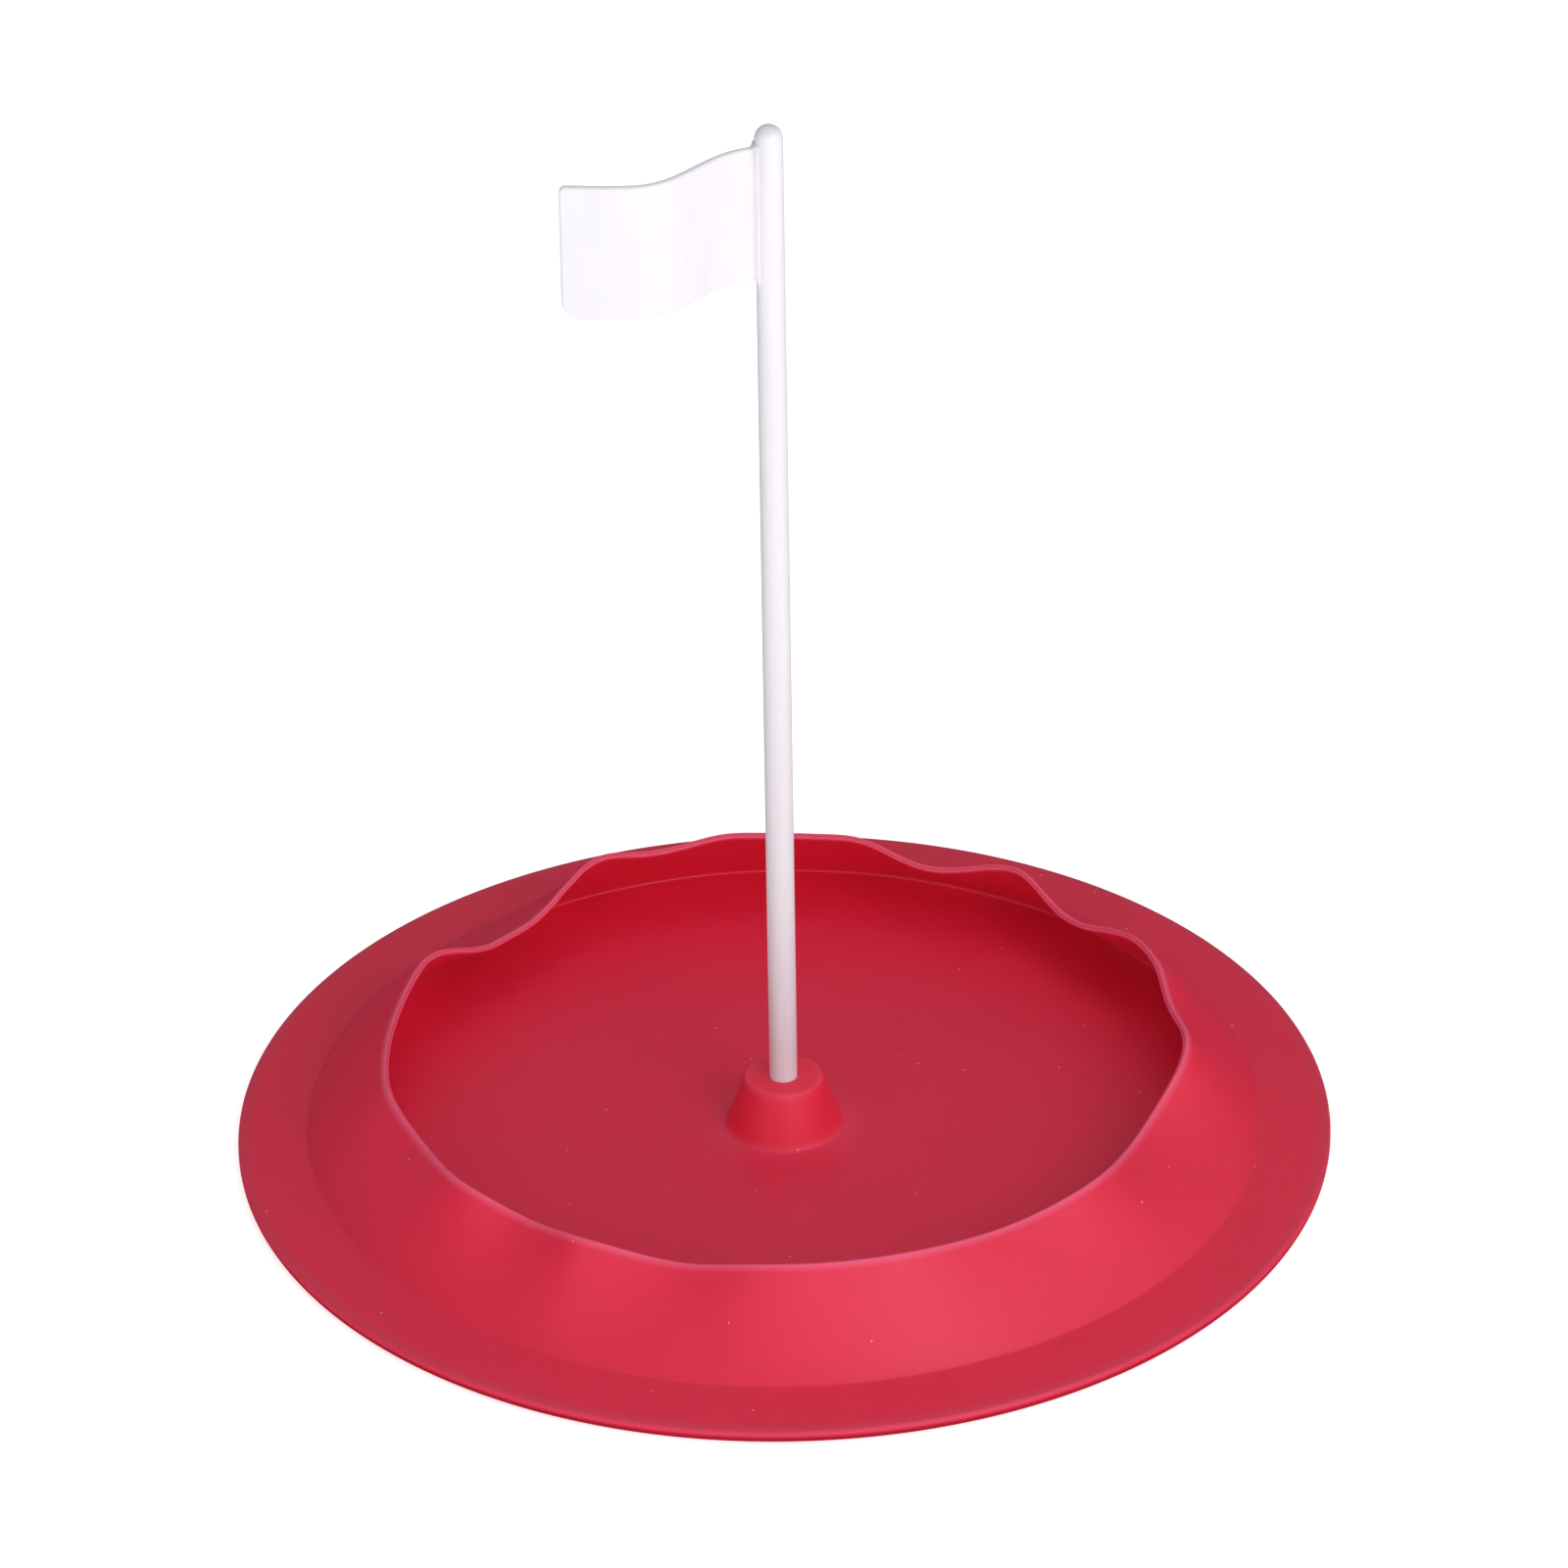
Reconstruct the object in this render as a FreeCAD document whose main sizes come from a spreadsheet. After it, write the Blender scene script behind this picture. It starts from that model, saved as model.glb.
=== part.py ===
import FreeCAD, Part
import math
import os
import Sketcher

# Putting cup: a soft silicone cup that lies on the floor and catches a golf ball, with a small
# flagstick in its middle. Millimetres, +Z up. The origin is the centre of the disc's underside.
# The flag points to -X, and the side that a player putts from is -Y.

# ---------------------------------------------------------------- driving sizes
SIZES = {
    # the disc: the cup's floor and its outer flange in one
    "disc_radius": 75.0,
    "disc_thickness": 1.75,
    "disc_edge_round": 0.6,
    # the wall that leans inwards from the disc up to the lip
    "wall_foot_radius": 65.5,
    "wall_slant": 16.9,
    "wall_lean": 52.5,
    "wall_thickness": 1.1,       # at the foot
    "lip_thickness": 0.85,
    # the boss that holds the flagstick
    "socket_foot_radius": 8.05,
    "socket_top_radius": 5.3,
    "socket_height": 7.5,
    "socket_rim_round": 0.35,
    "bore_depth": 7.0,
    # the flagstick's pole
    "pole_radius": 1.88,
    "pole_top": 155.8,
    "pole_foot_bevel": 0.35,
    "running_gap": 0.05,
    # the flag near the pole's top
    "flag_height": 19.4,
    "flag_below_top": 2.9,
    "flag_reach": 27.2,
    "flag_thickness": 1.0,
    "flag_lower_corner": 2.6,
    "flag_upper_corner": 0.9,
}

# Soft folds where the thin wall leans further in: place round the cup in degrees from +X,
# how many degrees further it leans there, and half the fold's width in degrees.
FOLDS = [
    (10, 5, 12),
    (40, 12, 15),
    (66, 12, 15),
    (85, 3, 25),
    (108, 5, 12),
    (128, 12, 12),
    (140, 19, 16),
    (170, 5, 32),
    (204, 6, 15),
    (230, 9, 12),
    (254, 12, 16),
    (305, 8, 22),
    (336, 16, 22),
]

# The flag's wave, seen from above: how far along the flag, and how far it sways to the front there.
FLAG_WAVE = [(0.0, 0.0), (5.5, 2.0), (9.0, 5.1), (12.0, 8.1), (15.5, 10.3), (19.0, 10.8), (27.2, 10.3)]

STATIONS_ROUND_WALL = 96     # points that each edge of the wall is drawn through
LIP_ROUND_STEPS = 4          # flats that make up the lip's round edge


def make_sheet(doc):
    """Puts every driving size in a spreadsheet cell of its own, with its name as the alias."""
    sheet = doc.addObject("Spreadsheet::Sheet", "sizes")
    rows = dict(SIZES)
    for number, (place, depth, spread) in enumerate(FOLDS, start=1):
        rows[f"fold_{number}_place"] = place
        rows[f"fold_{number}_depth"] = depth
        rows[f"fold_{number}_spread"] = spread
    for row, (name, value) in enumerate(rows.items(), start=1):
        sheet.set(f"A{row}", name)
        sheet.set(f"B{row}", str(value))
        sheet.setAlias(f"B{row}", name)
    doc.recompute()
    return sheet


def new_body(doc, name):
    body = doc.addObject("PartDesign::Body", name)
    body.Label = name
    return body


def new_sketch(body, name, plane):
    """A sketch on one of the body's own origin planes, such as XY_Plane."""
    sketch = body.newObject("Sketcher::SketchObject", name)
    faces = [item for item in body.Origin.OriginFeatures if item.Role == plane]
    sketch.AttachmentSupport = [(faces[0], "")]
    sketch.MapMode = "FlatFace"
    return sketch


def bind(sketch, constraint, name, expression):
    """Adds a sketch constraint and drives its value from the sheet."""
    index = sketch.addConstraint(constraint)
    sketch.renameConstraint(index, name)
    sketch.setExpression(f"Constraints.{name}", expression)


def circle_sketch(body, name, radius, expression):
    """One circle about the body's Z axis."""
    sketch = new_sketch(body, name, "XY_Plane")
    middle = FreeCAD.Vector(0, 0, 0)
    sketch.addGeometry(Part.Circle(middle, FreeCAD.Vector(0, 0, 1), radius))
    sketch.addConstraint(Sketcher.Constraint("Coincident", 0, 3, -1, 1))
    bind(sketch, Sketcher.Constraint("Radius", 0, radius), "radius", expression)
    return sketch


def add_lines(sketch, corners):
    """Straight lines from corner to corner, joined at their ends and closed."""
    count = len(corners)
    for index, corner in enumerate(corners):
        after = corners[(index + 1) % count]
        sketch.addGeometry(Part.LineSegment(FreeCAD.Vector(*corner, 0), FreeCAD.Vector(*after, 0)))
    for index in range(count):
        sketch.addConstraint(Sketcher.Constraint("Coincident", index, 2, (index + 1) % count, 1))


def axis_of(body, role):
    return [item for item in body.Origin.OriginFeatures if item.Role == role][0]


def edges_where(shape, test):
    """Names of the edges whose middle point passes a test."""
    names = []
    for number, edge in enumerate(shape.Edges, start=1):
        middle = edge.valueAt((edge.FirstParameter + edge.LastParameter) / 2)
        if test(edge, middle):
            names.append(f"Edge{number}")
    return names


# ---------------------------------------------------------------- the disc
def make_base_disc(doc, sheet):
    """Flat round floor and flange, with its upper outer edge rounded."""
    body = new_body(doc, "base_disc")
    outline = circle_sketch(body, "disc_outline", sheet.disc_radius, "sizes.disc_radius")
    pad = body.newObject("PartDesign::Pad", "disc_pad")
    pad.Profile = outline
    pad.setExpression("Length", "sizes.disc_thickness")
    doc.recompute()
    rim = body.newObject("PartDesign::Fillet", "disc_edge")
    top = sheet.disc_thickness
    rim.Base = (pad, edges_where(pad.Shape, lambda edge, middle: abs(middle.z - top) < 0.01))
    rim.setExpression("Radius", "sizes.disc_edge_round")
    return body


# ---------------------------------------------------------------- the wall
def wall_lean_at(sheet, angle):
    """Lean of the wall from the floor, in degrees, at a place round the cup: the free lean less
    each soft fold, whose depth falls off as a squared cosine to nothing at its half width."""
    lean = sheet.wall_lean
    for number in range(1, len(FOLDS) + 1):
        place = getattr(sheet, f"fold_{number}_place")
        depth = getattr(sheet, f"fold_{number}_depth")
        spread = getattr(sheet, f"fold_{number}_spread")
        away = (angle - place + 180.0) % 360.0 - 180.0
        if abs(away) < spread:
            lean -= depth * math.cos(math.pi / 2 * away / spread) ** 2
    return lean


def wall_section(sheet, angle):
    """Corners of the wall's cut face, as (radius, height): outer foot, round lip, inner foot.
    The wall thins evenly from its foot to the lip, as a moulded wall does to leave its tool."""
    lean = math.radians(wall_lean_at(sheet, angle))
    half = sheet.lip_thickness / 2
    foot = sheet.wall_foot_radius
    floor = sheet.disc_thickness
    straight = sheet.wall_slant - half
    middle_r = foot - straight * math.cos(lean) - half * math.sin(lean)
    middle_z = floor + straight * math.sin(lean) - half * math.cos(lean)
    corners = [(foot, floor)]
    for step in range(LIP_ROUND_STEPS + 1):
        turn = lean - math.pi * step / LIP_ROUND_STEPS
        corners.append((middle_r + half * math.sin(turn), middle_z + half * math.cos(turn)))
    corners.append((foot - sheet.wall_thickness / math.sin(lean), floor))
    return corners


def make_lip_wall(doc, sheet):
    """Thin ring that leans inwards to a wavy round lip: smooth closed curves, one through each
    corner of the wall's section, with a ruled face from each curve to the next."""
    sections = []
    angles = [360.0 * station / STATIONS_ROUND_WALL for station in range(STATIONS_ROUND_WALL)]
    for angle in angles:
        turn = math.radians(angle)
        corners = wall_section(sheet, angle)
        sections.append([FreeCAD.Vector(r * math.cos(turn), r * math.sin(turn), z) for r, z in corners])
    rings = []
    for corner in range(len(sections[0])):
        curve = Part.BSplineCurve()
        curve.interpolate(Points=[section[corner] for section in sections], PeriodicFlag=True)
        rings.append(curve.toShape())
    faces = []
    for index, ring in enumerate(rings):
        faces.append(Part.makeRuledSurface(ring, rings[(index + 1) % len(rings)]))
    shell = Part.makeShell(faces)
    shell.sewShape()
    solid = Part.makeSolid(shell)
    if solid.Volume < 0:
        solid.reverse()
    wall = doc.addObject("Part::Feature", "lip_wall")
    wall.Label = "lip_wall"
    wall.Shape = solid
    wall.Placement = FreeCAD.Placement()
    return wall


# ---------------------------------------------------------------- the socket
def make_flag_socket(doc, sheet):
    """Cone-shaped boss on the floor, with a blind bore from its top for the pole."""
    body = new_body(doc, "flag_socket")
    foot = sheet.socket_foot_radius
    top = sheet.socket_top_radius
    height = sheet.socket_height
    profile = new_sketch(body, "socket_profile", "XZ_Plane")
    add_lines(profile, [(0, 0), (foot, 0), (top, height), (0, height)])
    profile.addConstraint(Sketcher.Constraint("Coincident", 0, 1, -1, 1))
    profile.addConstraint(Sketcher.Constraint("Horizontal", 0))
    profile.addConstraint(Sketcher.Constraint("Horizontal", 2))
    profile.addConstraint(Sketcher.Constraint("Vertical", 3))
    bind(profile, Sketcher.Constraint("DistanceX", 0, 1, 0, 2, foot), "foot", "sizes.socket_foot_radius")
    bind(profile, Sketcher.Constraint("DistanceX", 2, 2, 2, 1, top), "top", "sizes.socket_top_radius")
    bind(profile, Sketcher.Constraint("DistanceY", 3, 2, 3, 1, height), "tall", "sizes.socket_height")
    turned = body.newObject("PartDesign::Revolution", "socket_turned")
    turned.Profile = profile
    turned.ReferenceAxis = (axis_of(body, "Z_Axis"), [""])
    turned.Angle = 360.0
    doc.recompute()
    rim = body.newObject("PartDesign::Fillet", "socket_rim")
    rim.Base = (turned, edges_where(turned.Shape, lambda edge, middle: abs(middle.z - height) < 0.01
                                    and edge.Curve.TypeId == "Part::GeomCircle"))
    rim.setExpression("Radius", "sizes.socket_rim_round")
    doc.recompute()
    solid_before = rim.Shape.Volume
    mouth = circle_sketch(body, "bore_mouth", sheet.pole_radius + sheet.running_gap,
                          "sizes.pole_radius + sizes.running_gap")
    mouth.setExpression("AttachmentOffset.Base.z", "sizes.socket_height")
    bore = body.newObject("PartDesign::Pocket", "bore")
    bore.Profile = mouth
    bore.setExpression("Length", "sizes.bore_depth")
    doc.recompute()
    removed = math.pi * (sheet.pole_radius + sheet.running_gap) ** 2 * sheet.bore_depth
    if abs(solid_before - bore.Shape.Volume - removed) > 0.02 * removed:
        raise RuntimeError("the bore did not cut the boss")
    body.setExpression("Placement.Base.z", "sizes.disc_thickness")
    return body


# ---------------------------------------------------------------- the flagstick
def make_flag_pole(doc, sheet):
    """Round pole from the bore's floor to a domed top, with a bevelled foot."""
    body = new_body(doc, "flag_pole")
    foot = sheet.disc_thickness + sheet.socket_height - sheet.bore_depth + sheet.running_gap
    radius = sheet.pole_radius
    bevel = sheet.pole_foot_bevel
    length = sheet.pole_top - foot
    profile = new_sketch(body, "pole_profile", "XZ_Plane")
    corners = [(0, 0), (radius - bevel, 0), (radius, bevel), (radius, length - radius)]
    for start, end in zip(corners, corners[1:]):
        profile.addGeometry(Part.LineSegment(FreeCAD.Vector(*start, 0), FreeCAD.Vector(*end, 0)))
    dome = Part.Circle(FreeCAD.Vector(0, length - radius, 0), FreeCAD.Vector(0, 0, 1), radius)
    profile.addGeometry(Part.ArcOfCircle(dome, 0, math.pi / 2))
    profile.addGeometry(Part.LineSegment(FreeCAD.Vector(0, length, 0), FreeCAD.Vector(0, 0, 0)))
    for first, second in ((0, 1), (1, 2), (4, 0)):
        profile.addConstraint(Sketcher.Constraint("Coincident", first, 2, second, 1))
    profile.addConstraint(Sketcher.Constraint("Coincident", 2, 2, 3, 1))
    profile.addConstraint(Sketcher.Constraint("Coincident", 3, 2, 4, 1))
    profile.addConstraint(Sketcher.Constraint("Coincident", 0, 1, -1, 1))
    profile.addConstraint(Sketcher.Constraint("Horizontal", 0))
    profile.addConstraint(Sketcher.Constraint("Vertical", 2))
    profile.addConstraint(Sketcher.Constraint("Vertical", 4))
    profile.addConstraint(Sketcher.Constraint("PointOnObject", 3, 3, -2))
    profile.addConstraint(Sketcher.Constraint("Horizontal", 3, 3, 3, 1))
    bind(profile, Sketcher.Constraint("Radius", 3, radius), "radius", "sizes.pole_radius")
    bind(profile, Sketcher.Constraint("DistanceX", 0, 2, 1, 2, bevel), "bevel_in", "sizes.pole_foot_bevel")
    bind(profile, Sketcher.Constraint("DistanceY", 0, 2, 1, 2, bevel), "bevel_up", "sizes.pole_foot_bevel")
    foot_height = "sizes.disc_thickness + sizes.socket_height - sizes.bore_depth + sizes.running_gap"
    pole_length = f"sizes.pole_top - ({foot_height})"
    bind(profile, Sketcher.Constraint("DistanceY", 4, 2, 4, 1, length), "long", pole_length)
    turned = body.newObject("PartDesign::Revolution", "pole_turned")
    turned.Profile = profile
    turned.ReferenceAxis = (axis_of(body, "Z_Axis"), [""])
    turned.Angle = 360.0
    body.setExpression("Placement.Base.z", foot_height)
    return body


def wave_sides(sheet):
    """Front and back of the waved flag seen from above: smooth curves half a thickness each side
    of the wave's middle line."""
    middle = Part.BSplineCurve()
    scale = sheet.flag_reach / FLAG_WAVE[-1][0]
    middle.interpolate([FreeCAD.Vector(-along * scale, -sway, 0) for along, sway in FLAG_WAVE])
    front = []
    back = []
    stations = 2 * len(FLAG_WAVE)
    span = middle.LastParameter - middle.FirstParameter
    for station in range(stations + 1):
        where = middle.FirstParameter + span * station / stations
        point = middle.value(where)
        along = middle.tangent(where)[0]
        across = FreeCAD.Vector(-along.y, along.x, 0) * (sheet.flag_thickness / 2)
        front.append(point + across)
        back.append(point - across)
    sides = []
    for points in (front, back):
        side = Part.BSplineCurve()
        side.interpolate(points)
        sides.append(side)
    return sides


def make_flag(doc, sheet):
    """Waved plate that points to -X: its root is hollowed to sit round the pole's side, and its
    free end has a large lower and a small upper corner."""
    body = new_body(doc, "flag")
    outline = new_sketch(body, "flag_from_above", "XY_Plane")
    front, back = wave_sides(sheet)
    outline.addGeometry(front)
    outline.addGeometry(back)
    outline.addGeometry(Part.LineSegment(front.StartPoint, back.StartPoint))
    outline.addGeometry(Part.LineSegment(front.EndPoint, back.EndPoint))
    pad = body.newObject("PartDesign::Pad", "flag_plate")
    pad.Profile = outline
    pad.setExpression("Length", "sizes.flag_height")
    doc.recompute()
    tall = sheet.flag_height
    far = -sheet.flag_reach + sheet.flag_thickness

    def at_free_end(height):
        return lambda edge, middle: middle.x < far and abs(middle.z - height) < 0.01 and edge.Length < 3
    lower = body.newObject("PartDesign::Fillet", "lower_corner")
    lower.Base = (pad, edges_where(pad.Shape, at_free_end(0)))
    lower.setExpression("Radius", "sizes.flag_lower_corner")
    doc.recompute()
    upper = body.newObject("PartDesign::Fillet", "upper_corner")
    upper.Base = (lower, edges_where(lower.Shape, at_free_end(tall)))
    upper.setExpression("Radius", "sizes.flag_upper_corner")
    doc.recompute()
    before = upper.Shape.Volume
    root = circle_sketch(body, "pole_room", sheet.pole_radius + sheet.running_gap,
                         "sizes.pole_radius + sizes.running_gap")
    hollow = body.newObject("PartDesign::Pocket", "root_hollow")
    hollow.Profile = root
    hollow.Type = "ThroughAll"
    hollow.Reversed = True
    doc.recompute()
    if before - hollow.Shape.Volume < tall * sheet.flag_thickness * sheet.pole_radius * 0.8:
        raise RuntimeError("the flag's root was not hollowed for the pole")
    body.setExpression("Placement.Base.z", "sizes.pole_top - sizes.flag_below_top - sizes.flag_height")
    return body


def check_and_write(doc, pieces):
    """Stops if anything failed to rebuild, then writes each piece to a file with its own name."""
    doc.recompute()
    for item in doc.Objects:
        if "Invalid" in item.State or "Error" in item.State:
            raise RuntimeError(f"{item.Name} did not rebuild: {item.State}")
    os.makedirs("parts", exist_ok=True)
    for piece in pieces:
        shape = piece.Shape
        if shape.isNull() or not shape.isValid() or shape.Volume <= 0:
            raise RuntimeError(f"{piece.Label} is not a sound solid")
        shape.exportStep(f"parts/{piece.Label}.step")
        box = shape.optimalBoundingBox()
        print(f"{piece.Label}: {len(shape.Solids)} solid, {shape.Volume:.1f} mm3, "
              f"x {box.XMin:.2f} to {box.XMax:.2f}, y {box.YMin:.2f} to {box.YMax:.2f}, "
              f"z {box.ZMin:.2f} to {box.ZMax:.2f}")


def main():
    doc = FreeCAD.newDocument("putting_cup")
    sheet = make_sheet(doc)
    makers = [make_base_disc, make_lip_wall, make_flag_socket, make_flag_pole, make_flag]
    pieces = [make(doc, sheet) for make in makers]
    check_and_write(doc, pieces)


main()
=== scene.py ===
# %% [markdown]
# # A soft putting cup with a flagstick
#
# The object is a red silicone cup that lies on the floor, with a small white flagstick in its middle.
# A golf ball rolls up the leaning wall, drops over the thin lip and stays in.
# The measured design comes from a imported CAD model, the frame. This lesson builds the soft and moulded
# surfaces around it, in metres, in the same place as the CAD.

# %% Load the frame
import math

import bpy
import numpy as np
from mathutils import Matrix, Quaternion, Vector


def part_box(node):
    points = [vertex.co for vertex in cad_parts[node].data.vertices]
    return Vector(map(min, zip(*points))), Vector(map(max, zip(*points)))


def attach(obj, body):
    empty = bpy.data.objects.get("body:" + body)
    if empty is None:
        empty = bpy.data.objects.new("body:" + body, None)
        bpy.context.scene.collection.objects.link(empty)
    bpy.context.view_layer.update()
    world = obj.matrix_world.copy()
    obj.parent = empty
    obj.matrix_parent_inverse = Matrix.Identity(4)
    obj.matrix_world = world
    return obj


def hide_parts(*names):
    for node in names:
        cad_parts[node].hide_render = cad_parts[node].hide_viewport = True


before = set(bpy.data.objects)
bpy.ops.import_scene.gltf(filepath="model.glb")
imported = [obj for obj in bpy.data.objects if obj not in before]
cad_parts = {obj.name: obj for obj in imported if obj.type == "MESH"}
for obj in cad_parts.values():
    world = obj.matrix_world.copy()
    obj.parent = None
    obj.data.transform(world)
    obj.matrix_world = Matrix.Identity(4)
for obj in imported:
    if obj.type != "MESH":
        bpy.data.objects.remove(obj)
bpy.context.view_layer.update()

MM = 0.001
print("the frame's nodes:", sorted(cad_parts))

# %% [markdown]
# ## Sizes
#
# Everything that the CAD knows is read from its nodes' boxes: how wide and thick the disc is, where the
# wall's foot stands, how wide and tall the socket and the pole are. What a box can't tell, such as the
# wall's thickness and the flag's wave, is repeated from the design where it is first needed. The small
# roundings that a mould gives are this script's own.

# %% Read the sizes
disc_low, disc_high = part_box("base_disc")
wall_low, wall_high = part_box("lip_wall")
socket_low, socket_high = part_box("flag_socket")
pole_low, pole_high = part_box("flag_pole")
flag_low, flag_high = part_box("flag")

DISC_RADIUS = (disc_high.x - disc_low.x) / 2
DISC_TOP = disc_high.z
FOOT_RADIUS = (wall_high.x - wall_low.x) / 2
SOCKET_FOOT = (socket_high.x - socket_low.x) / 2
SOCKET_TOP = socket_high.z
POLE_RADIUS = (pole_high.x - pole_low.x) / 2
print(f"disc {2 * DISC_RADIUS / MM:.1f} mm across and {DISC_TOP / MM:.2f} mm thick")
print(f"wall's foot at radius {FOOT_RADIUS / MM:.1f} mm, socket {SOCKET_TOP / MM:.2f} mm high")

# %% [markdown]
# ## From a grid of points to a mesh
#
# A moulded skin is one surface that never stops: across the underside, round the rim, up the wall, over
# the lip and down into the socket. It could be cut from primitives and joined, but the joins would show.
# Here each skin is a grid of points instead: rows follow a profile and columns go round it, so one
# formula gives every vertex and every face. A row that shrinks to one place becomes a single pole vertex.

# %% Grid helper
def grid_mesh(name, points, first_pole=False, last_pole=False):
    """Mesh from a (rows, columns, 3) array whose columns close on themselves. Each face joins two
    neighbouring rows and two neighbouring columns, and a pole row becomes one vertex with a fan.
    Faces point out where, seen from outside, columns run to the right as rows run up. Also returns
    which of the grid's points became vertices."""
    rows, columns = points.shape[:2]
    number = np.arange(rows * columns).reshape(rows, columns)
    if first_pole:
        number[0] = number[0, 0]
    if last_pole:
        number[-1] = number[-1, 0]
    kept, compact = np.unique(number, return_inverse=True)
    here = compact.reshape(rows, columns)
    after = np.roll(here, -1, axis=1)
    quads = np.stack([here[:-1], after[:-1], after[1:], here[1:]], axis=-1)
    faces = quads[int(first_pole):rows - 1 - int(last_pole)].reshape(-1, 4).tolist()
    if first_pole:
        faces += quads[0][:, [0, 2, 3]].tolist()
    if last_pole:
        faces += quads[-1][:, :3].tolist()
    mesh = bpy.data.meshes.new(name)
    mesh.from_pydata(points.reshape(-1, 3)[kept], [], faces)
    mesh.shade_smooth()
    piece = bpy.data.objects.new(name, mesh)
    bpy.context.scene.collection.objects.link(piece)
    mesh.calc_loop_triangles()
    low, high = points.min(axis=(0, 1)) / MM, points.max(axis=(0, 1)) / MM
    print(f"{name}: {len(mesh.loop_triangles)} triangles, {low.round(2)} to {high.round(2)} mm")
    return piece, kept


def point_attribute(piece, name, values):
    """Stores one number per vertex, for a material to read."""
    attribute = piece.data.attributes.new(name, "FLOAT", "POINT")
    attribute.data.foreach_set("value", values.astype(np.float32))


# %% [markdown]
# ## How far the wall leans
#
# The wall is only about a millimetre of silicone, so it doesn't lean evenly: it has soft folds. The CAD
# wall already has them. The outer face runs straight from the foot circle to the lip, so the steepest
# line from the foot to any vertex in a narrow sector is the lean of that sector. Reading the lean from
# the frame keeps this skin and the CAD wall together when the design changes.

# %% Read the wall's lean
CUP_COLUMNS = 720
CUP_ANGLES = np.arange(CUP_COLUMNS) * 2 * np.pi / CUP_COLUMNS
LEAN_SECTORS = 240
SMOOTHED_OVER = 9           # columns, with a bell-shaped weight
CLEAR_OF_FOOT = 4 * MM
SAME_LEAN = 0.002           # radians


def read_lean():
    """Lean of the wall from the floor, in radians, at each column, and the wall's slant length."""
    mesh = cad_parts["lip_wall"].data
    flat = np.empty(len(mesh.vertices) * 3)
    mesh.vertices.foreach_get("co", flat)
    spots = flat.reshape(-1, 3)
    rise = spots[:, 2] - DISC_TOP
    run = FOOT_RADIUS - np.hypot(spots[:, 0], spots[:, 1])
    high = rise > CLEAR_OF_FOOT
    slant = np.hypot(run, rise)[high].max()
    angle = np.arctan2(spots[high, 1], spots[high, 0]) % (2 * np.pi)
    steep = np.arctan2(rise[high], run[high])
    place = np.floor(angle / (2 * np.pi) * LEAN_SECTORS).astype(int) % LEAN_SECTORS
    best = np.full(LEAN_SECTORS, -1.0)
    np.maximum.at(best, place, steep)
    where = np.zeros(LEAN_SECTORS)
    for number in range(LEAN_SECTORS):
        mine = np.flatnonzero((place == number) & (steep > best[number] - SAME_LEAN))
        where[number] = angle[mine].mean() if len(mine) else np.nan
    good = ~np.isnan(where)
    order = np.argsort(where[good])
    lean = np.interp(CUP_ANGLES, where[good][order], best[good][order], period=2 * np.pi)
    kernel = np.hanning(SMOOTHED_OVER)
    side = SMOOTHED_OVER // 2
    padded = np.concatenate([lean[-side:], lean, lean[:side]])
    return np.convolve(padded, kernel / kernel.sum(), mode="valid"), slant


LEAN, SLANT = read_lean()
lean_degrees = np.degrees(LEAN)
print(f"lean {lean_degrees.min():.1f} to {lean_degrees.max():.1f} degrees, slant {SLANT / MM:.2f} mm")

# %% [markdown]
# ## A section with rounded corners
#
# A moulder draws a section as corners, and gives each corner a radius. The same drawing works here: a list
# of (radius, height, rounding), from one end on the middle axis to the other. Each corner is replaced by an
# arc that touches both of its sides, and the straight runs between the arcs get a few points of their own.
# All columns are worked out at once, because a corner may lie elsewhere in each column, as the lip does.

# %% Rounded section
def rounded_section(corners, run_steps, columns, arc_steps=6):
    """Rows of (radius, height), one column for each place round the axis. At a corner with half angle h
    and rounding r, the arc's centre lies r / sin(h) along the line that halves the corner, and the arc
    starts and ends r / tan(h) from the corner. Also returns, for each row, the corner that it rounds,
    or -1 on a straight run."""
    points = [np.stack([np.broadcast_to(value, columns) for value in corner[:2]], axis=-1)
              for corner in corners]
    rows = [points[0]]
    marks = [-1]
    for number in range(1, len(corners)):
        here = points[number]
        arc = [here]
        if number < len(corners) - 1:
            to_before = points[number - 1] - here
            to_after = points[number + 1] - here
            to_before = to_before / np.linalg.norm(to_before, axis=-1, keepdims=True)
            to_after = to_after / np.linalg.norm(to_after, axis=-1, keepdims=True)
            half = np.arccos(np.clip((to_before * to_after).sum(-1), -1, 1))[:, None] / 2
            rounding = corners[number][2]
            centre = here + (to_before + to_after) / (2 * np.cos(half)) * rounding / np.sin(half)
            first = here + to_before * rounding / np.tan(half) - centre
            last = here + to_after * rounding / np.tan(half) - centre
            sweep = np.pi - 2 * half
            shares = np.linspace(0, 1, arc_steps)
            arc = [centre + (np.sin((1 - share) * sweep) * first + np.sin(share * sweep) * last)
                   / np.sin(sweep) for share in shares]
        before = rows[-1]
        for share in np.linspace(0, 1, run_steps[number - 1] + 1)[1:-1]:
            rows.append(before + (arc[0] - before) * share)
            marks.append(-1)
        rows.extend(arc)
        marks.extend([number] * len(arc))
    return np.stack(rows), np.array(marks)


def carried_round(rows):
    """Carries a section round the axis: x = radius cos(angle), y = radius sin(angle)."""
    columns = rows.shape[1]
    angle = np.arange(columns) * 2 * np.pi / columns
    return np.stack([rows[..., 0] * np.cos(angle), rows[..., 0] * np.sin(angle), rows[..., 1]], axis=-1)


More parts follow.
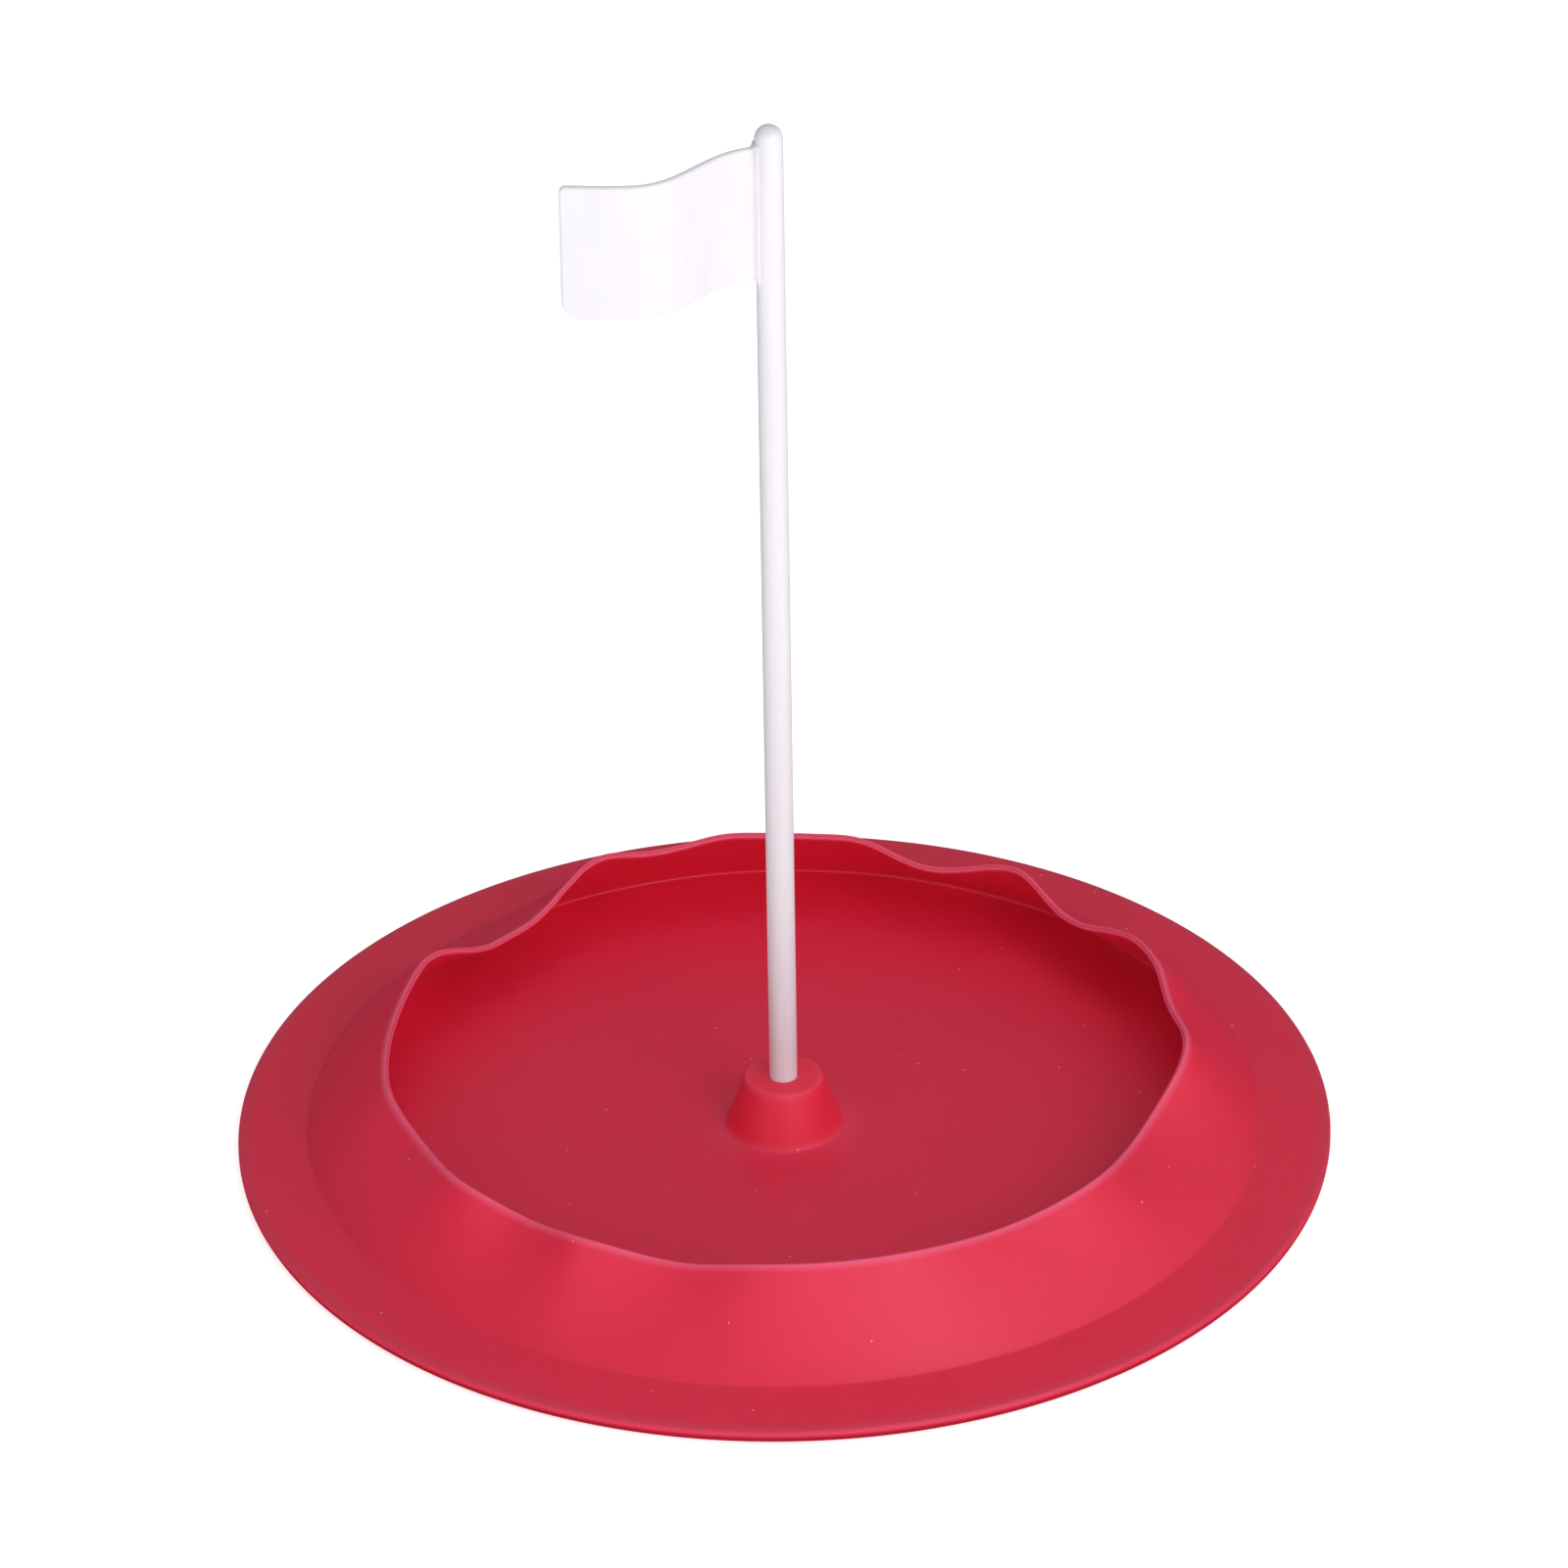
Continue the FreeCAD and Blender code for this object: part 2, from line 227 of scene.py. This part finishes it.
# %% [markdown]
# ## The cup
#
# The whole cup is one shot of silicone rubber in a closed mould, so it gets one skin. The section starts
# under the middle, goes out to the rim, back over the flange, up the wall, round the lip, down inside,
# across the floor, up the socket and down into the socket's bore.
#
# Soft rubber doesn't lie quite flat. The leaning wall pulls its own foot up a little, so the flange slopes
# down to the rim and the floor slopes down to the socket, by less than a millimetre.

# %% The cup's corners
FOOT_LIFT = 0.8 * MM
FOOT_TOP = DISC_TOP + FOOT_LIFT
WALL_THICKNESS = 1.1 * MM
LIP_THICKNESS = 0.85 * MM
LIP_ROUND = 0.25 * MM
RIM_UNDER_ROUND = 0.8 * MM
RIM_TOP_ROUND = 0.6 * MM
OUTER_FOOT_ROUND = 0.5 * MM
INNER_FOOT_ROUND = 0.3 * MM
SOCKET_FOOT_ROUND = 0.6 * MM
SOCKET_TOP_ROUND = 0.45 * MM
BORE_ROUND = 0.2 * MM
BORE_GAP = 0.05 * MM
BORE_RADIUS = POLE_RADIUS + BORE_GAP
BORE_FLOOR = pole_low.z - BORE_GAP
SOCKET_TOP_RADIUS = 5.3 * MM

lip_outer = (FOOT_RADIUS - SLANT * np.cos(LEAN), DISC_TOP + SLANT * np.sin(LEAN))
lip_inner = (lip_outer[0] - LIP_THICKNESS * np.sin(LEAN), lip_outer[1] - LIP_THICKNESS * np.cos(LEAN))
wall_inner_foot = FOOT_RADIUS - WALL_THICKNESS / np.sin(LEAN)
CUP_CORNERS = [
    (0, 0, 0),
    (DISC_RADIUS, 0, RIM_UNDER_ROUND),
    (DISC_RADIUS, DISC_TOP, RIM_TOP_ROUND),
    (FOOT_RADIUS, FOOT_TOP, OUTER_FOOT_ROUND),
    (*lip_outer, LIP_ROUND),
    (*lip_inner, LIP_ROUND),
    (wall_inner_foot, FOOT_TOP, INNER_FOOT_ROUND),
    (SOCKET_FOOT, DISC_TOP, SOCKET_FOOT_ROUND),
    (SOCKET_TOP_RADIUS, SOCKET_TOP, SOCKET_TOP_ROUND),
    (BORE_RADIUS, SOCKET_TOP, BORE_ROUND),
    (BORE_RADIUS, BORE_FLOOR, BORE_ROUND),
    (0, BORE_FLOOR, 0),
]
CUP_RUNS = [8, 1, 6, 16, 2, 16, 14, 7, 4, 4, 3]    # steps from each corner to the next
cup_rows, cup_marks = rounded_section(CUP_CORNERS, CUP_RUNS, CUP_COLUMNS)
print(f"the cup's section has {len(cup_rows)} rows")

# %% [markdown]
# ## The wall's own bend
#
# The wall is held at its foot and free at its lip, so it isn't quite straight: it leaves the floor nearer
# to the mean lean and curls to its own lean higher up. The bow is a share of the difference in lean,
# times x (1 - x)^2, where x runs from the foot to the lip, so that neither end moves.
#
# The lip and the outer corners are narrow enough that light shines through them, and their pink is a
# painted highlight and painted glow. The disc's standing edge gets a darker red, painted shade where the
# rim meets the floor, and the socket, a full block of rubber, gets a brighter red, a painted glow for light
# that enters it from all sides. Each of these is kept in an attribute, which the material reads.

# %% The cup's skin
WALL_BOW = 0.8
# How strong the painted edge highlight and the painted rim shade are at a corner, by the corner's number in
# CUP_CORNERS.
PAINTED_LIGHT_EDGES = {2: 0.3, 4: 1.0, 5: 1.0, 7: 0.2, 8: 0.2, 9: 0.2}
PAINTED_SHADE_EDGES = {1: 1.0, 2: 0.25}
JUST_ABOVE = 0.1 * MM


def bow_wall(rows):
    """Moves the wall's points across the wall by the bow, which is nothing at the foot and at the lip."""
    run = FOOT_RADIUS - rows[..., 0]
    rise = rows[..., 1] - FOOT_TOP
    share = np.clip((run * np.cos(LEAN) + rise * np.sin(LEAN)) / SLANT, 0, 1)
    on_wall = (rise > 0) & (rows[..., 0] > FOOT_RADIUS / 2)
    bow = WALL_BOW * (LEAN.mean() - LEAN) * SLANT * share * (1 - share) ** 2 * on_wall
    return rows + np.stack([bow * np.sin(LEAN), bow * np.cos(LEAN)], axis=-1)


cup, kept = grid_mesh("cup_skin", carried_round(bow_wall(cup_rows)), first_pole=True, last_pole=True)
# Painted highlight on narrow edges and painted shade on the rim's standing edge, stored per vertex.
for attribute, edges in [("painted_edge_light", PAINTED_LIGHT_EDGES), ("painted_rim_shade", PAINTED_SHADE_EDGES)]:
    share = np.array([edges.get(mark, 0.0) for mark in cup_marks])
    point_attribute(cup, attribute, np.repeat(share, CUP_COLUMNS)[kept])
# Painted glow: the socket is marked to be coloured a brighter red.
glow_in_socket = (cup_rows[..., 0] < SOCKET_FOOT) & (cup_rows[..., 1] > DISC_TOP + JUST_ABOVE)
point_attribute(cup, "painted_socket_glow", glow_in_socket.astype(float).reshape(-1)[kept])
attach(cup, "cup")
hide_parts("base_disc", "lip_wall", "flag_socket")

# %% [markdown]
# ## The pole
#
# The flagstick is injection moulded in hard plastic. Its pole is a plain round rod with a domed top and a
# bevelled foot, so its section has four corners: the dome is only a corner whose rounding is nearly the
# pole's own radius. Where the two halves of the mould meet, they leave a very low line on each side.

# %% The pole's skin
POLE_COLUMNS = 128
FOOT_BEVEL = 0.35 * MM
BEVEL_ROUND = 0.1 * MM
DOME_FLAT = 0.02 * MM
PARTING_HEIGHT = 0.02 * MM
PARTING_WIDTH = 0.12 * MM
POLE_CORNERS = [
    (0, pole_low.z, 0),
    (POLE_RADIUS - FOOT_BEVEL, pole_low.z, BEVEL_ROUND),
    (POLE_RADIUS, pole_low.z + FOOT_BEVEL, BEVEL_ROUND),
    (POLE_RADIUS, pole_high.z, POLE_RADIUS - DOME_FLAT),
    (0, pole_high.z, 0),
]
POLE_RUNS = [3, 2, 150, 2]
pole_rows, _ = rounded_section(POLE_CORNERS, POLE_RUNS, POLE_COLUMNS, arc_steps=20)
pole_angles = np.arange(POLE_COLUMNS) * 2 * np.pi / POLE_COLUMNS
from_parting = POLE_RADIUS * np.abs((pole_angles + np.pi / 2) % np.pi - np.pi / 2)
parting = PARTING_HEIGHT * np.exp(-(from_parting / PARTING_WIDTH) ** 2)
pole_rows[..., 0] += parting * (pole_rows[..., 0] / POLE_RADIUS) ** 4
pole, _ = grid_mesh("pole_skin", carried_round(pole_rows), first_pole=True, last_pole=True)
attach(pole, "stick")
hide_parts("flag_pole")

# %% [markdown]
# ## The flag
#
# The flag looks like cloth in the wind but is a stiff plate moulded with the pole. Seen from the side it
# is a rectangle with one large and one small corner at its free end; seen from above it is a wave.
#
# A plate with rounded edges could be a cube with a Bevel and a bend. Here it is a set of rings instead:
# each ring is the flag's outline moved inwards a little, and it stands further from the middle sheet as the
# edge's rounding says. The rings go from the middle of the front, over the edge, to the middle of the back.

# %% The flag's outline
FLAG_THICKNESS = 1.0 * MM
FLAG_EDGE_ROUND = 0.4 * MM
FLAG_ROOT = 1.0 * MM
SIDE_POINTS = [40, 70, 40, 70]
CORNER_POINTS = 12
FLAG_CORNERS = [
    (-flag_low.x, flag_low.z, 2.6 * MM),
    (-flag_low.x, flag_high.z, 0.9 * MM),
    (FLAG_ROOT, flag_high.z, 0.5 * MM),
    (FLAG_ROOT, flag_low.z, 0.5 * MM),
]


def flag_outline(inset):
    """The flag's outline as (distance from the pole's axis, height), moved inwards: every corner arc
    keeps its centre and loses the inset from its radius. Straight sides get evenly spaced points."""
    turn = np.radians([-90, 0, 90, 180])
    parts = []
    for (along, height, radius), start, steps in zip(FLAG_CORNERS, turn, SIDE_POINTS):
        inward = np.array([-np.sign(np.cos(start + np.pi / 4)), -np.sign(np.sin(start + np.pi / 4))])
        centre = np.array([along, height]) + inward * radius
        angles = start + np.linspace(0, np.pi / 2, CORNER_POINTS)
        arc = centre + (radius - inset) * np.stack([np.cos(angles), np.sin(angles)], axis=-1)
        parts.append((arc, steps))
    loop = []
    for number, (arc, steps) in enumerate(parts):
        after = parts[(number + 1) % 4][0][0]
        shares = np.linspace(0, 1, steps)[1:-1, None]
        loop += [arc, arc[-1] + (after - arc[-1]) * shares]
    return np.concatenate(loop)


print(f"the flag's outline has {len(flag_outline(0))} points")

# %% [markdown]
# ## The flag's wave
#
# Seven points fix the wave seen from above. A natural cubic spline goes through them: the bend at each
# point is the unknown, and asking that the slope has no step there gives one linear equation per point.

# %% The flag's wave
FLAG_WAVE = np.array([(0, 0), (5.5, 2.0), (9, 5.1), (12, 8.1), (15.5, 10.3), (19, 10.8), (27.2, 10.3)]) * MM


def spline(places, values, at):
    """Natural cubic spline through values at places, read at other places, with its slope."""
    count = len(places)
    gap = np.diff(places)
    rise = np.diff(values) / gap
    inner = np.arange(1, count - 1)
    system = np.eye(count)
    system[inner, inner - 1] = gap[:-1]
    system[inner, inner] = 2 * (gap[:-1] + gap[1:])
    system[inner, inner + 1] = gap[1:]
    bend = np.linalg.solve(system, np.concatenate([[0], 6 * np.diff(rise), [0]]))
    part = np.clip(np.searchsorted(places, at) - 1, 0, count - 2)
    left, right = at - places[part], places[part + 1] - at
    wide, low, high = gap[part], bend[part], bend[part + 1]
    value = (low * right ** 3 + high * left ** 3) / (6 * wide)
    value += (values[part] / wide - low * wide / 6) * right
    value += (values[part + 1] / wide - high * wide / 6) * left
    slope = (high * left ** 2 - low * right ** 2) / (2 * wide) + rise[part] - (high - low) * wide / 6
    return value, slope


wave_here, _ = spline(*FLAG_WAVE.T, np.linspace(0, 0.02, 5))
print("sway in mm every 5 mm along the flag:", (wave_here / MM).round(2))

# %% [markdown]
# ## The flag's skin
#
# Where the plate meets the pole, the mould leaves a small fillet, so that the flag doesn't snap off: the
# plate gets thicker, and a little taller, over the last half millimetre before the pole.

# %% The flag's skin
ROOT_FILLET = 0.6 * MM
FACE_RINGS = 61
RING_CROWDING = 1.6         # above 1, the rings lie closer together near the flag's edge
EDGE_RINGS = 6


def root_flare(along):
    """How much the fillet adds at a distance from the pole's axis: a quarter circle's rise."""
    left = np.clip((along - POLE_RADIUS) / ROOT_FILLET, 0, 1)
    return ROOT_FILLET * (1 - np.sqrt(1 - (1 - left) ** 2))


def flag_rings():
    """Rings of (distance from the axis, height, half thickness) from the flag's middle to its edge."""
    rings = []
    edge = flag_outline(FLAG_EDGE_ROUND)
    middle = edge.mean(axis=0)
    for share in 1 - np.linspace(1, 0, FACE_RINGS) ** RING_CROWDING:
        ring = middle + (edge - middle) * share
        rings.append(np.column_stack([ring, np.full(len(ring), FLAG_THICKNESS / 2)]))
    for turn in np.linspace(0, np.pi / 2, EDGE_RINGS + 1)[1:]:
        ring = flag_outline(FLAG_EDGE_ROUND * (1 - np.sin(turn)))
        half = FLAG_THICKNESS / 2 - FLAG_EDGE_ROUND * (1 - np.cos(turn))
        rings.append(np.column_stack([ring, np.full(len(ring), half)]))
    return np.stack(rings)


def flag_side(rings, side):
    """One side of the flag: each point stands half the thickness from the wave, square to it."""
    along, height, half = np.moveaxis(rings, -1, 0)
    sway, slope = spline(*FLAG_WAVE.T, along)
    flare = root_flare(along)
    away = side * (half + flare) / np.hypot(1, slope)
    middle_height = (flag_low.z + flag_high.z) / 2
    height = height + flare * (height - middle_height) / (flag_high.z - middle_height)
    return np.stack([-(along - away * slope), -(sway + away), height], axis=-1)


rings = flag_rings()
flag_points = np.concatenate([flag_side(rings, 1), flag_side(rings, -1)[::-1]])
flag, _ = grid_mesh("flag_skin", flag_points, first_pole=True, last_pole=True)
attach(flag, "flag")
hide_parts("flag")
print("CAD flag in mm:", [[round(value / MM, 2) for value in corner] for corner in (flag_low, flag_high)])

# %% [markdown]
# ## Helpers for materials
#
# A finish is a small network of nodes. One function adds a node of any kind, sets it and links it.
# Colours are written as the usual hex values, which are meant for a screen, so they are turned linear.

# %% Material helpers
MIX_FACTOR, MIX_A, MIX_B, MIX_RESULT = 0, 6, 7, 2    # the colour sockets of a Mix node


def linear(hex_colour):
    """Linear colour with alpha from an sRGB hex value such as "#C4162F"."""
    parts = [int(hex_colour[place:place + 2], 16) / 255 for place in (1, 3, 5)]
    return (*[part / 12.92 if part <= 0.04045 else ((part + 0.055) / 1.055) ** 2.4 for part in parts], 1)


def add(tree, kind, values=None, links=None, **settings):
    """Adds a node, sets its properties and input values, and links its inputs to other sockets."""
    node = tree.nodes.new(kind)
    for name, value in settings.items():
        setattr(node, name, value)
    for name, value in (values or {}).items():
        node.inputs[name].default_value = value
    for name, source in (links or {}).items():
        tree.links.new(source, node.inputs[name])
    return node


def new_material(name):
    """An empty material with its node tree and its output node."""
    material = bpy.data.materials.new(name)
    material.use_nodes = True
    material.node_tree.nodes.clear()
    return material, material.node_tree, material.node_tree.nodes.new("ShaderNodeOutputMaterial")


# %% [markdown]
# ## The silicone
#
# The cup is compression-moulded silicone rubber, coloured right through. The mould was blasted to a fine
# matte grain, which gives the broad, soft shine. Silicone lets light in a little way, so the red glows
# in the shadows. Its pink on narrow edges is painted highlight and glow, its darker red on the rim's
# standing edge is painted shade and its brighter red on the socket is painted glow. It also picks up a few
# specks of dust.

# %% Silicone
SILICONE_RED = "#EC2549"
SILICONE_DEEP = "#E62245"
# Painted colours: a brighter red as painted glow on the socket, a pink as painted highlight on narrow
# edges, a dark red as painted shade on the rim's standing edge.
PAINTED_GLOW_RED = "#FF2848"
PAINTED_HIGHLIGHT_PINK = "#F4688C"
PAINTED_SHADE_RED = "#A80A26"
EDGE_LIGHT_STRENGTH = 0.7
DUST_GREY = "#E0B4B8"
GRAIN_SIZE = 0.35 * MM
BLOTCH_SIZE = 6.0 * MM
DUST_SPACING = 5.0 * MM
DUST_RADIUS = 0.14 * MM


def make_silicone():
    """Red, slightly uneven, with painted highlight on narrow edges, painted shade on the rim's standing
    edge, painted glow on the socket and dust specks where a random point lies on the skin.
    """
    material, tree, output = new_material("moulded_silicone")
    place = add(tree, "ShaderNodeTexCoord").outputs["Object"]
    blotches = add(tree, "ShaderNodeTexNoise", {"Scale": 1 / BLOTCH_SIZE, "Detail": 3.0}, {"Vector": place})
    grain = add(tree, "ShaderNodeTexNoise", {"Scale": 1 / GRAIN_SIZE, "Detail": 2.0}, {"Vector": place})
    specks = add(tree, "ShaderNodeTexVoronoi", {"Scale": 1 / DUST_SPACING}, {"Vector": place})
    is_speck = add(tree, "ShaderNodeMath", {1: DUST_RADIUS / DUST_SPACING}, {0: specks.outputs["Distance"]},
                   operation="LESS_THAN")
    # Painted highlight and painted glow on narrow edges.
    edge_light_attr = add(tree, "ShaderNodeAttribute", attribute_name="painted_edge_light")
    edge_light_amount = add(tree, "ShaderNodeMath", {1: EDGE_LIGHT_STRENGTH}, {0: edge_light_attr.outputs["Fac"]},
                     operation="MULTIPLY")
    red = add(tree, "ShaderNodeMix", {MIX_A: linear(SILICONE_DEEP), MIX_B: linear(SILICONE_RED)},
              {MIX_FACTOR: blotches.outputs["Fac"]}, data_type="RGBA")
    # Painted glow on the socket.
    socket_glow_attr = add(tree, "ShaderNodeAttribute", attribute_name="painted_socket_glow")
    with_socket_glow = add(tree, "ShaderNodeMix", {MIX_B: linear(PAINTED_GLOW_RED)},
                {MIX_FACTOR: socket_glow_attr.outputs["Fac"], MIX_A: red.outputs[MIX_RESULT]}, data_type="RGBA")
    with_edge_light = add(tree, "ShaderNodeMix", {MIX_B: linear(PAINTED_HIGHLIGHT_PINK)},
                {MIX_FACTOR: edge_light_amount.outputs[0], MIX_A: with_socket_glow.outputs[MIX_RESULT]}, data_type="RGBA")
    # Painted shade on the rim's standing edge, where it meets the floor.
    thick = add(tree, "ShaderNodeAttribute", attribute_name="painted_rim_shade")
    with_rim_shade = add(tree, "ShaderNodeMix", {MIX_B: linear(PAINTED_SHADE_RED)},
                {MIX_FACTOR: thick.outputs["Fac"], MIX_A: with_edge_light.outputs[MIX_RESULT]}, data_type="RGBA")
    dusty = add(tree, "ShaderNodeMix", {MIX_B: linear(DUST_GREY)},
                {MIX_FACTOR: is_speck.outputs[0], MIX_A: with_rim_shade.outputs[MIX_RESULT]}, data_type="RGBA")
    matte = add(tree, "ShaderNodeMapRange", {"To Min": 0.44, "To Max": 0.56},
                {"Value": grain.outputs["Fac"]})
    bump = add(tree, "ShaderNodeBump", {"Strength": 0.5, "Distance": 0.02 * MM},
               {"Height": grain.outputs["Fac"]})
    shader = add(tree, "ShaderNodeBsdfPrincipled",
                 {"IOR": 1.41, "Specular IOR Level": 0.95, "Specular Tint": (0.8, 0.75, 1.0, 1.0),
                  "Subsurface Weight": 0.8, "Subsurface Radius": (1.0, 0.25, 0.2),
                  "Subsurface Scale": 0.5 * MM},
                 {"Base Color": dusty.outputs[MIX_RESULT], "Roughness": matte.outputs["Result"],
                  "Normal": bump.outputs["Normal"]})
    tree.links.new(shader.outputs["BSDF"], output.inputs["Surface"])
    return material


cup.data.materials.append(make_silicone())

# %% [markdown]
# ## The white plastic
#
# Pole and flag are injection-moulded ABS in white. It is smooth but not polished, so the light draws a soft
# bright line down the pole. ABS is a little milky, so its shaded side stays light. A very weak flow
# pattern, stretched along the pole, keeps the white from looking like paint.

# %% White plastic
ABS_WHITE = "#F1EEF4"
ABS_SHADE = "#EAE7EE"
FLOW_WIDTH = 1.5 * MM
FLOW_STRETCH = 0.15
POLISH_GRIT = 0.25 * MM


def make_white_plastic():
    """White with weak streaks that run up the piece, and a roughness that varies with fine grit."""
    material, tree, output = new_material("injected_white_abs")
    place = add(tree, "ShaderNodeTexCoord").outputs["Object"]
    stretched = add(tree, "ShaderNodeMapping", {"Scale": (1, 1, FLOW_STRETCH)}, {"Vector": place})
    flow = add(tree, "ShaderNodeTexNoise", {"Scale": 1 / FLOW_WIDTH, "Detail": 3.0},
               {"Vector": stretched.outputs["Vector"]})
    grit = add(tree, "ShaderNodeTexNoise", {"Scale": 1 / POLISH_GRIT, "Detail": 1.0}, {"Vector": place})
    white = add(tree, "ShaderNodeMix", {MIX_A: linear(ABS_SHADE), MIX_B: linear(ABS_WHITE)},
                {MIX_FACTOR: flow.outputs["Fac"]}, data_type="RGBA")
    polish = add(tree, "ShaderNodeMapRange", {"To Min": 0.30, "To Max": 0.42},
                 {"Value": grit.outputs["Fac"]})
    bump = add(tree, "ShaderNodeBump", {"Strength": 0.25, "Distance": 0.01 * MM},
               {"Height": grit.outputs["Fac"]})
    shader = add(tree, "ShaderNodeBsdfPrincipled",
                 {"IOR": 1.52, "Subsurface Weight": 0.25, "Subsurface Radius": (1.0, 0.95, 0.9),
                  "Subsurface Scale": 0.8 * MM},
                 {"Base Color": white.outputs[MIX_RESULT], "Roughness": polish.outputs["Result"],
                  "Normal": bump.outputs["Normal"]})
    tree.links.new(shader.outputs["BSDF"], output.inputs["Surface"])
    return material


white_plastic = make_white_plastic()
pole.data.materials.append(white_plastic)
flag.data.materials.append(white_plastic)

# %% [markdown]
# ## The floor
#
# The cup stands on a white studio floor. It is only a stage, so it is a plain sheet a hair under the cup,
# wide enough to fill every view.

# %% The floor
FLOOR_HALF = 8.0
FLOOR_DROP = 0.2 * MM
FLOOR_WHITE = "#FAFAFA"
FLOOR_SHADE = "#F6F6F6"
FLOOR_GLOW = 0.62


def make_floor():
    """A flat square of matte white paper, with a fibre pattern too weak to notice."""
    corners = [(side_x * FLOOR_HALF, side_y * FLOOR_HALF, -FLOOR_DROP)
               for side_x, side_y in [(-1, -1), (1, -1), (1, 1), (-1, 1)]]
    mesh = bpy.data.meshes.new("studio_floor")
    mesh.from_pydata(corners, [], [(0, 1, 2, 3)])
    floor = bpy.data.objects.new("studio_floor", mesh)
    bpy.context.scene.collection.objects.link(floor)
    material, tree, output = new_material("studio_paper")
    place = add(tree, "ShaderNodeTexCoord").outputs["Object"]
    fibre = add(tree, "ShaderNodeTexNoise", {"Scale": 1 / (3 * MM)}, {"Vector": place})
    white = add(tree, "ShaderNodeMix", {MIX_A: linear(FLOOR_SHADE), MIX_B: linear(FLOOR_WHITE)},
                {MIX_FACTOR: fibre.outputs["Fac"]}, data_type="RGBA")
    shader = add(tree, "ShaderNodeBsdfPrincipled",
                 {"Roughness": 0.9, "Specular IOR Level": 0.1,
                  "Emission Color": (1, 1, 1, 1), "Emission Strength": FLOOR_GLOW},
                 {"Base Color": white.outputs[MIX_RESULT]})
    tree.links.new(shader.outputs["BSDF"], output.inputs["Surface"])
    mesh.materials.append(material)
    floor.visible_glossy = False
    return floor


make_floor()

# %% [markdown]
# ## Light
#
# Soft studio light, mostly from the player's side and low: a key from the front right draws the bright
# patch on the leaning wall, two lower softboxes reach the socket, the pole and the inside of the far wall,
# and weak ones fill the left, the right and the top. The white surround is dim and ends at the horizon,
# because matte silicone that mirrors a bright surround looks grey. The floor glows a little to stay white,
# as a sweep lit from behind does.

# %% Light
AIM = Vector((0, 0, 0.02))
SURROUND = 0.27


def softbox(name, azimuth, elevation, distance, size, power):
    """A square light that looks at the cup from an azimuth and an elevation in degrees."""
    turn, rise = math.radians(azimuth), math.radians(elevation)
    away = Vector((math.cos(turn) * math.cos(rise), math.sin(turn) * math.cos(rise), math.sin(rise)))
    light = bpy.data.lights.new(name, "AREA")
    light.size = size
    light.energy = power
    lamp = bpy.data.objects.new(name, light)
    lamp.location = AIM + away * distance
    lamp.rotation_euler = (-away).to_track_quat("-Z", "Y").to_euler()
    lamp.visible_camera = False
    bpy.context.scene.collection.objects.link(lamp)
    return lamp


softbox("key_light", -48, 42, 1.0, 0.5, 1.7)
softbox("front_light", -54, 22, 1.3, 0.8, 2.4)
softbox("low_light", -80, 9, 1.4, 0.8, 3.6)
softbox("left_light", -125, 25, 1.3, 0.8, 2.3)
softbox("right_light", 0, 30, 1.3, 0.8, 1.4)
softbox("top_light", 90, 80, 1.6, 1.0, 2.8)

surround = bpy.data.worlds.new("studio_surround")
surround.use_nodes = True
direction = add(surround.node_tree, "ShaderNodeTexCoord").outputs["Generated"]
up = add(surround.node_tree, "ShaderNodeSeparateXYZ", {}, {"Vector": direction}).outputs["Z"]
strength = add(surround.node_tree, "ShaderNodeMapRange",
               {"From Min": 0.0, "From Max": 0.1, "To Min": 0.0, "To Max": SURROUND}, {"Value": up})
background = surround.node_tree.nodes["Background"]
background.inputs["Color"].default_value = (1, 1, 1, 1)
surround.node_tree.links.new(strength.outputs["Result"], background.inputs["Strength"])
bpy.context.scene.world = surround
bpy.context.scene.view_settings.view_transform = "Standard"

# %% [markdown]
# ## Camera
#
# A long lens from the player's side, a third of the way up to overhead, so that the cup is seen as an
# ellipse with little perspective. The distance is given in disc radii. The camera is rolled a little, as
# a hand-set one is.

# %% Camera
CAMERA_ELEVATION = math.radians(33.217)
CAMERA_ROLL = math.radians(-0.9)
CAMERA_DISTANCE = 19 * DISC_RADIUS
CAMERA_TARGET = Vector((0.7 * MM, 0, 55.83 * MM))
SENSOR_WIDTH = 36.0         # millimetres, as a lens is named
LENS = 237.8

camera_data = bpy.data.cameras.new("camera")
camera_data.sensor_width = SENSOR_WIDTH
camera_data.lens = LENS
camera_data.clip_start = 0.01
camera = bpy.data.objects.new("camera", camera_data)
camera.location = Vector((0, -math.cos(CAMERA_ELEVATION), math.sin(CAMERA_ELEVATION))) * CAMERA_DISTANCE
straight = (CAMERA_TARGET - camera.location).to_track_quat("-Z", "Y")
camera.rotation_euler = (straight @ Quaternion((0, 0, 1), CAMERA_ROLL)).to_euler()
bpy.context.scene.collection.objects.link(camera)
bpy.context.scene.camera = camera
print("camera at", [round(value, 3) for value in camera.location], "m")
